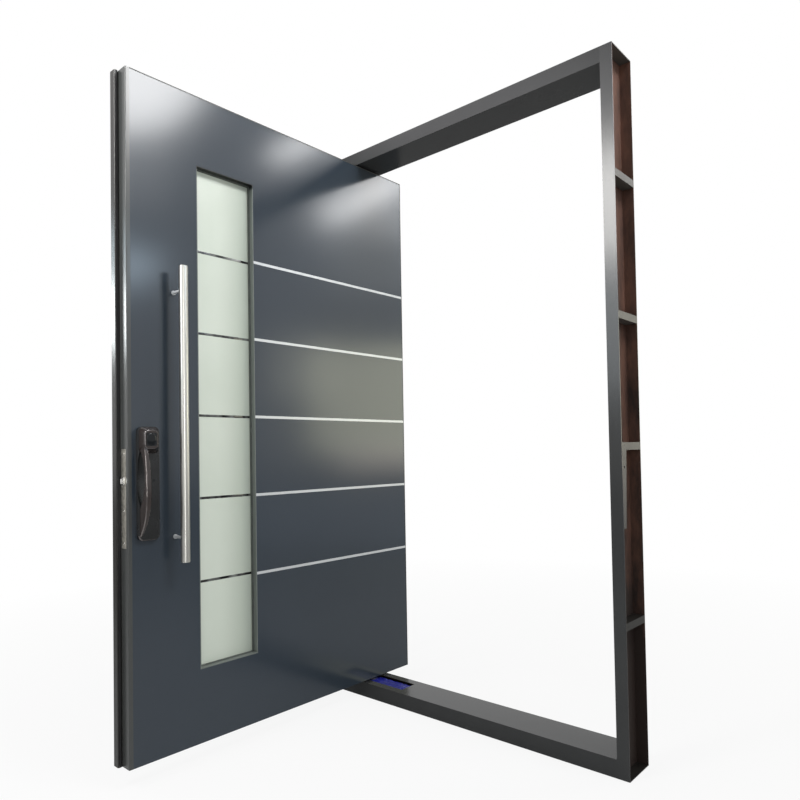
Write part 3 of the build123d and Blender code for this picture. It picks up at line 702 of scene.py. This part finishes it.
def copy_node(name):
    """A merged copy of a CAD node that can be cut up."""
    copy = duplicate(frame["nodes"][name])
    bpy.ops.object.parent_clear(type="CLEAR_KEEP_TRANSFORM")
    for key in [key for key in copy.keys() if key.startswith("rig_")]:
        del copy[key]
    bpy.ops.object.mode_set(mode="EDIT")
    bpy.ops.mesh.select_all(action="SELECT")
    bpy.ops.mesh.remove_doubles(threshold=MERGE_DISTANCE)
    bpy.ops.mesh.normals_make_consistent(inside=False)
    bpy.ops.object.mode_set(mode="OBJECT")
    return copy


def keep_faces(piece, test):
    """Deletes the faces of a piece that fail a test."""
    pick(piece, "FACE", lambda face: not test(face))
    bpy.ops.mesh.delete(type="FACE")
    bpy.ops.object.mode_set(mode="OBJECT")
    if not piece.data.polygons:
        raise RuntimeError(f"nothing left of {piece.name}")


class DOOR_OT_finishes(bpy.types.Operator):
    """Makes all finishes and gives every solid its own."""

    bl_idname = "door.finishes"
    bl_label = "Finish the solids"
    bl_options = {"REGISTER", "UNDO"}

    def execute(self, context):
        """Fills the material slots of the solids."""
        finishes = build_finishes(context.scene.door_colours, context.scene.door_trim)
        done = set()
        for finish_name, nodes in NODE_FINISHES.items():
            for node_name in nodes:
                node = frame["nodes"][node_name]
                for slot in node.material_slots:
                    slot.material = finishes[finish_name]
                done.add(node_name)
        missing = sorted(set(frame["nodes"]) - done)
        if missing:
            raise RuntimeError(f"no finish for {missing}")
        return {"FINISHED"}


class DOOR_OT_glass_lines(bpy.types.Operator):
    """Clear lines across the frosted panes."""

    bl_idname = "door.glass_lines"
    bl_label = "Clear glass lines"
    bl_options = {"REGISTER", "UNDO"}

    def execute(self, context):
        """Models one line, repeats it up the pane and does so on both sides."""
        trim = context.scene.door_trim
        for side, sign in SIDES:
            pane_low, pane_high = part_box(f"{side}_pane")
            bead_low, bead_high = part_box(f"{side}_glazing_bead")
            face = pane_high.x if sign > 0 else pane_low.x
            proud = trim.line_proud
            half = trim.line_height / 2
            low = (face - proud, bead_low.y + trim.bead_width, trim.line_first - half)
            high = (face + proud, bead_high.y - trim.bead_width, trim.line_first + half)
            piece = add_block(low, high)
            bevel_all(piece, trim.line_bevel)
            use_modifier("ARRAY", count=trim.line_count, use_relative_offset=False, use_constant_offset=True,
                         constant_offset_displace=(0.0, 0.0, trim.line_pitch))
            settle(piece, f"{side}_glass_lines", "leaf", "clear_line")
        return {"FINISHED"}


class DOOR_OT_lock_trim(bpy.types.Operator):
    """Polished rims of the lock plates, heads and grips."""

    bl_idname = "door.lock_trim"
    bl_label = "Lock rims"
    bl_options = {"REGISTER", "UNDO"}

    def execute(self, context):
        """Lifts the bevelled faces off copies of the lock's solids."""
        trim = context.scene.door_trim
        for side, sign in SIDES:
            low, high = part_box(f"{side}_skin")
            start = high.x + trim.head_rim if sign > 0 else low.x - trim.head_rim
            body = copy_node(f"{side}_lock_body")
            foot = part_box(f"{side}_lock_body")[0].z + trim.foot_rim
            keep_faces(body, lambda face: RIM_TURN_SHARES[0] < sign * face.normal.x < RIM_TURN_SHARES[1]
                       and (sign * (face.calc_center_median().x - start) > 0.0
                            or face.calc_center_median().z < foot))
            use_modifier("SOLIDIFY", thickness=trim.rim_proud, offset=1.0)
            settle(body, f"{side}_lock_rims", "leaf", "lock_rim", angle=50.0)
            grip = copy_node(f"{side}_lock_grip")
            keep_faces(grip, lambda face: GRIP_FRONT_SHARE < sign * face.normal.x
                       and GRIP_SIDE_SHARES[0] < abs(face.normal.y) < GRIP_SIDE_SHARES[1])
            use_modifier("SOLIDIFY", thickness=trim.rim_proud, offset=1.0)
            settle(grip, f"{side}_grip_edges", "leaf", "grip_rim", angle=50.0)
        return {"FINISHED"}


class DOOR_OT_sensor_lens(bpy.types.Operator):
    """Domed lens in the sensor window of the lock's head."""

    bl_idname = "door.sensor_lens"
    bl_label = "Sensor lens"
    bl_options = {"REGISTER", "UNDO"}

    def execute(self, context):
        """Rounds a block to a dome and fits it into the window."""
        trim = context.scene.door_trim
        low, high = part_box("sensor_window")
        size = high - low - 2 * Vector((trim.lens_inset, trim.lens_inset, trim.lens_inset))
        size.x = 2 * trim.lens_proud
        start_clean()
        middle = (low + high) / 2
        bpy.ops.mesh.primitive_cube_add(size=1.0, location=(high.x, middle.y, middle.z))
        use_modifier("SUBSURF", levels=trim.lens_levels)
        context.view_layer.update()
        dome = context.object
        dome.scale = [wanted / found for wanted, found in zip(size, dome.dimensions)]
        settle(apply_place(), "sensor_lens", "leaf", "sensor_gloss", angle=60.0)
        return {"FINISHED"}


class DOOR_OT_latch_guide(bpy.types.Operator):
    """Plated guide round the latch on the faceplate."""

    bl_idname = "door.latch_guide"
    bl_label = "Latch guide"
    bl_options = {"REGISTER", "UNDO"}

    def execute(self, context):
        """Sets four bevelled bars round the latch."""
        trim = context.scene.door_trim
        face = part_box("lock_faceplate")[0].y
        latch_low, latch_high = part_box("latch_bolt")
        gap = Vector((trim.guide_gap, 0.0, trim.guide_gap))
        inner_low = latch_low - gap
        inner_high = latch_high + gap
        rim = trim.guide_rim
        near = face - trim.guide_proud
        far = face + trim.guide_sunk
        bars = []
        for low, high in (
            ((inner_low.x - rim, near, inner_low.z - rim), (inner_low.x, far, inner_high.z + rim)),
            ((inner_high.x, near, inner_low.z - rim), (inner_high.x + rim, far, inner_high.z + rim)),
            ((inner_low.x, near, inner_low.z - rim), (inner_high.x, far, inner_low.z)),
            ((inner_low.x, near, inner_high.z), (inner_high.x, far, inner_high.z + rim)),
        ):
            bar = add_block(low, high)
            bevel_all(bar, trim.guide_bevel)
            bars.append(bar)
        settle(join_all(bars), "latch_guide", "leaf", "latch_chrome")
        return {"FINISHED"}


class DOOR_OT_screws(bpy.types.Operator):
    """Countersunk screws and hexagon bolts."""

    bl_idname = "door.screws"
    bl_label = "Screws and bolts"
    bl_options = {"REGISTER", "UNDO"}

    def execute(self, context):
        """Models one screw and one bolt and sets copies of them in place."""
        trim = context.scene.door_trim
        screw = self.model_head(trim.screw_radius, trim.screw_proud, trim, corners=24)
        plate_low, plate_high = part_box("lock_faceplate")
        middle = (plate_low.x + plate_high.x) / 2
        end = trim.screw_end
        heights = (plate_low.z + end, plate_low.z + trim.screw_middle, plate_high.z - end)
        places = [(middle, plate_low.y, height) for height in heights]
        self.set_copies(screw, places, (radians(90), 0.0, 0.0), "faceplate_screws", "leaf", "latch_chrome")
        strike_low, strike_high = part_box("strike_plate")
        middle = (strike_low.y + strike_high.y) / 2
        places = [(strike_low.x, middle, height) for height in (strike_low.z + end, strike_high.z - end)]
        self.set_copies(screw, places, (0.0, radians(-90), 0.0), "strike_screws", "frame", "latch_chrome")
        bpy.data.objects.remove(screw)
        bolt = self.model_head(trim.bolt_radius, trim.bolt_height, trim, corners=6)
        house_low, house_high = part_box("top_pivot_housing")
        middle = (house_low.y + house_high.y) / 2
        places = [(x, middle, house_high.z) for x in (house_low.x + end, house_high.x - end)]
        self.set_copies(bolt, places, (0.0, 0.0, 0.0), "housing_bolts", "frame", "pivot_steel")
        bpy.data.objects.remove(bolt)
        return {"FINISHED"}

    @staticmethod
    def model_head(radius, proud, trim, corners):
        """A screw or bolt head on the origin, pointing up, with a socket."""
        start_clean()
        bpy.ops.mesh.primitive_cylinder_add(vertices=corners, radius=radius, depth=2 * proud)
        head = apply_place()
        pick(head, "FACE", lambda face: face.normal.z > FACING_SHARE)
        bpy.ops.mesh.bevel(offset=trim.screw_bevel, segments=3, affect="EDGES")
        pick(head, "FACE", lambda face: face.normal.z > FLAT_SHARE)
        bpy.ops.mesh.inset(thickness=radius * SOCKET_SHARE)
        bpy.ops.mesh.extrude_region_move(TRANSFORM_OT_translate={"value": (0.0, 0.0, -trim.socket_depth)})
        bpy.ops.object.mode_set(mode="OBJECT")
        return head

    @staticmethod
    def set_copies(head, places, turn, name, body, slot):
        """Copies of a head at the places, turned, as one piece."""
        copies = [copy_of(head, place, turn) for place in places]
        settle(join_all(copies), name, body, slot)


class DOOR_OT_bar_caps(bpy.types.Operator):
    """End caps of the pull bar."""

    bl_idname = "door.bar_caps"
    bl_label = "Pull bar caps"
    bl_options = {"REGISTER", "UNDO"}

    def execute(self, context):
        """Models a domed cap on each end."""
        trim = context.scene.door_trim
        low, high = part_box("pull_bar")
        middle = (low + high) / 2
        caps = []
        for height in (low.z, high.z):
            start_clean()
            bpy.ops.mesh.primitive_cylinder_add(vertices=48, radius=trim.cap_radius,
                                                depth=2 * trim.cap_proud,
                                                location=(middle.x, middle.y, height))
            cap = apply_place()
            pick(cap, "FACE", lambda face: abs(face.normal.z) > FACING_SHARE)
            bpy.ops.mesh.bevel(offset=trim.cap_proud * CAP_ROUND_SHARE, segments=4, affect="EDGES")
            pick(cap, "FACE", lambda face: abs(face.normal.z) > FLAT_SHARE)
            bpy.ops.mesh.inset(thickness=trim.cap_radius * CAP_INSET_SHARE)
            bpy.ops.object.mode_set(mode="OBJECT")
            caps.append(cap)
        settle(join_all(caps), "pull_bar_caps", "leaf", "stainless")
        return {"FINISHED"}


class DOOR_OT_edge_lines(bpy.types.Operator):
    """Dark lines along the leaf's top and pivot edges."""

    bl_idname = "door.edge_lines"
    bl_label = "Leaf edge lines"
    bl_options = {"REGISTER", "UNDO"}

    def execute(self, context):
        """Models a top and a side strip on both faces."""
        trim = context.scene.door_trim
        for side, sign in SIDES:
            low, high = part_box(f"{side}_skin")
            face = high.x if sign > 0 else low.x
            near = face - trim.edge_line_proud
            far = face + trim.edge_line_proud
            width = trim.edge_line_width
            strips = []
            for start, end in (
                ((near, low.y, high.z - width), (far, high.y, high.z)),
                ((near, high.y - width, low.z), (far, high.y, high.z - width)),
            ):
                strip = add_block(start, end)
                bevel_all(strip, trim.edge_line_bevel)
                strips.append(strip)
            settle(join_all(strips), f"{side}_edge_lines", "leaf", "edge_line")
        return {"FINISHED"}


class DOOR_OT_corner_welds(bpy.types.Operator):
    """Painted weld beads in the frame's inner corners."""

    bl_idname = "door.corner_welds"
    bl_label = "Corner welds"
    bl_options = {"REGISTER", "UNDO"}

    def execute(self, context):
        """Models one ripple, repeats it along a corner and copies the bead."""
        trim = context.scene.door_trim
        lock_low, lock_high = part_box("lock_jamb")
        pivot_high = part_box("pivot_jamb")[1]
        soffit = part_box("head_channel")[0].z
        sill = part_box("sill_channel")[1].z
        radius = trim.weld_radius
        run = lock_high.y - lock_low.y - 2 * radius
        start_clean()
        bpy.ops.mesh.primitive_ico_sphere_add(subdivisions=2, radius=radius, scale=RIPPLE_SHARES,
                                              location=(0.0, lock_low.y + radius, 0.0))
        bead = apply_place()
        use_modifier("ARRAY", count=int(run / trim.weld_step), use_relative_offset=False,
                     use_constant_offset=True, constant_offset_displace=(0.0, trim.weld_step, 0.0))
        beads = [copy_of(bead, (x, 0.0, z)) for x in (lock_low.x, pivot_high.x) for z in (soffit, sill)]
        bpy.data.objects.remove(bead)
        settle(join_all(beads), "corner_welds", "frame", "sill_paint", angle=60.0)
        return {"FINISHED"}


class DOOR_OT_closer_film(bpy.types.Operator):
    """Crinkled film over the floor closer."""

    bl_idname = "door.closer_film"
    bl_label = "Closer film"
    bl_options = {"REGISTER", "UNDO"}

    def execute(self, context):
        """Creases a grid, cuts the spindle's hole and thickens it."""
        trim = context.scene.door_trim
        low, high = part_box("closer_lid")
        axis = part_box("top_pivot_pin")
        centre = (axis[0] + axis[1]) / 2
        size = (high.x - low.x, high.y - low.y, 1.0)
        place = ((low.x + high.x) / 2, (low.y + high.y) / 2, high.z + trim.film_gap + trim.film_sag / 2)
        start_clean()
        bpy.ops.mesh.primitive_grid_add(x_subdivisions=trim.film_columns, y_subdivisions=trim.film_rows,
                                        size=1.0, location=place)
        bpy.context.object.scale = size
        film = apply_place()
        texture = bpy.data.textures.new("film_creases", "CLOUDS")
        texture.noise_type = "HARD_NOISE"
        texture.noise_scale = trim.film_crease_size
        texture.noise_depth = 2
        use_modifier("DISPLACE", texture=texture, texture_coords="LOCAL", strength=trim.film_sag,
                     mid_level=0.5, direction="Z")
        hole = trim.film_hole
        keep_faces(film, lambda face: (face.calc_center_median() - centre).xy.length > hole)
        use_modifier("SOLIDIFY", thickness=trim.film_sheet, offset=0.0)
        settle(film, "closer_film", "frame", "closer_film", angle=60.0)
        return {"FINISHED"}


class DOOR_OT_stage(bpy.types.Operator):
    """Floor, world light, lamps and camera."""

    bl_idname = "door.stage"
    bl_label = "Stage and camera"
    bl_options = {"REGISTER", "UNDO"}

    def execute(self, context):
        """Sets up everything that is not part of the door."""
        stage = context.scene.door_stage
        self.make_floor(stage)
        self.make_world(context, stage)
        for lamp in LAMPS:
            self.make_lamp(*lamp)
        self.make_camera(context, stage)
        context.scene.view_settings.view_transform = "Standard"
        return {"FINISHED"}

    @staticmethod
    def make_floor(stage):
        """A plain pale floor that keeps a soft shadow."""
        start_clean()
        bpy.ops.mesh.primitive_plane_add(size=stage.floor_size, location=(0.0, 0.0, -stage.floor_depth))
        floor = bpy.context.object
        floor.name = "floor"
        finish = new_finish("floor_white", [stage.floor_grey] * 3, roughness=0.9, specular=0.0)
        shader = shader_of(finish)
        path = add_node(finish, "ShaderNodeLightPath")
        reach = add_node(finish, "ShaderNodeVectorMath")
        reach.operation = "LENGTH"
        join(finish, object_place(finish), reach.inputs[0])
        distance = reach.outputs["Value"]
        fade = ranged(finish, distance, stage.floor_near, stage.floor_far, low=stage.floor_lift)
        lift = maths(finish, "MULTIPLY", path.outputs["Is Camera Ray"], fade)
        shine = add_node(finish, "ShaderNodeEmission")
        mix = add_node(finish, "ShaderNodeMixShader")
        join(finish, lift, mix.inputs["Fac"])
        join(finish, shader.outputs["BSDF"], mix.inputs[1])
        join(finish, shine.outputs["Emission"], mix.inputs[2])
        join(finish, mix.outputs["Shader"], finish.node_tree.nodes["Material Output"].inputs["Surface"])
        floor.data.materials.append(finish)

    @staticmethod
    def make_world(context, stage):
        """White for the camera and for reflections, softer as light on the part."""
        world = bpy.data.worlds.new("studio")
        world.use_nodes = True
        context.scene.world = world
        nodes = world.node_tree.nodes
        path = add_node(world, "ShaderNodeLightPath").outputs
        either = maths(world, "MAXIMUM", path["Is Camera Ray"], path["Is Glossy Ray"])
        mix = add_node(world, "ShaderNodeMixShader")
        join(world, maths(world, "MAXIMUM", either, path["Is Transmission Ray"]), mix.inputs["Fac"])
        seen = add_node(world, "ShaderNodeBackground")
        for place, light, strength in ((1, nodes["Background"], stage.fill), (2, seen, 1.0)):
            light.inputs["Color"].default_value = (1.0, 1.0, 1.0, 1.0)
            light.inputs["Strength"].default_value = strength
            join(world, light.outputs["Background"], mix.inputs[place])
        join(world, mix.outputs["Shader"], nodes["World Output"].inputs["Surface"])

    @staticmethod
    def make_lamp(name, place, aim, width, height, brightness, tint_colour, roll=0.0,
                  outline="RECTANGLE"):
        """A softbox aimed at a point, of a given brightness."""
        start_clean()
        look = (Vector(aim) - Vector(place)).to_track_quat("-Z", "Y")
        turn = (look @ Quaternion((0.0, 0.0, 1.0), radians(roll))).to_euler()
        bpy.ops.object.light_add(type="AREA", location=place, rotation=turn)
        lamp = bpy.context.object
        lamp.name = name
        lamp.data.shape = outline
        lamp.data.size = width
        lamp.data.size_y = height
        area = width * height * (pi / 4 if outline == "ELLIPSE" else 1.0)
        lamp.data.energy = brightness * pi * area
        lamp.data.color = tint_colour

    @staticmethod
    def make_camera(context, stage):
        """The camera at the picture's view."""
        start_clean()
        bpy.ops.object.camera_add(location=stage.camera_place, rotation=stage.camera_turn)
        camera = bpy.context.object
        camera.name = "camera"
        camera.data.sensor_width = stage.camera_sensor
        camera.data.lens = stage.camera_lens
        camera.data.shift_x, camera.data.shift_y = stage.camera_shift
        context.scene.camera = camera


class DOOR_PT_dresser(bpy.types.Panel):
    """Buttons for the steps."""

    bl_idname = "DOOR_PT_dresser"
    bl_label = "Door Dresser"
    bl_space_type = "VIEW_3D"
    bl_region_type = "UI"
    bl_category = "Door"

    def draw(self, context):
        """One button a step."""
        for step in STEPS:
            self.layout.operator(step.bl_idname)


STEPS = (
    DOOR_OT_finishes,
    DOOR_OT_glass_lines,
    DOOR_OT_lock_trim,
    DOOR_OT_sensor_lens,
    DOOR_OT_latch_guide,
    DOOR_OT_screws,
    DOOR_OT_bar_caps,
    DOOR_OT_edge_lines,
    DOOR_OT_corner_welds,
    DOOR_OT_closer_film,
    DOOR_OT_stage,
)
GROUPS = (("door_colours", DoorColours), ("door_trim", DoorTrim), ("door_stage", DoorStage))


def register():
    """Registers the settings, steps and panel."""
    for name, group in GROUPS:
        bpy.utils.register_class(group)
        setattr(bpy.types.Scene, name, PointerProperty(type=group))
    for step in STEPS:
        bpy.utils.register_class(step)
    bpy.utils.register_class(DOOR_PT_dresser)


def unregister():
    """Takes back what register did."""
    bpy.utils.unregister_class(DOOR_PT_dresser)
    for step in reversed(STEPS):
        bpy.utils.unregister_class(step)
    for name, group in reversed(GROUPS):
        delattr(bpy.types.Scene, name)
        bpy.utils.unregister_class(group)


def main():
    """Runs the steps in order."""
    register()
    bpy.ops.door.finishes()
    bpy.ops.door.glass_lines()
    bpy.ops.door.lock_trim()
    bpy.ops.door.sensor_lens()
    bpy.ops.door.latch_guide()
    bpy.ops.door.screws()
    bpy.ops.door.bar_caps()
    bpy.ops.door.edge_lines()
    bpy.ops.door.corner_welds()
    bpy.ops.door.closer_film()
    bpy.ops.door.stage()


if __name__ == "__main__":
    main()
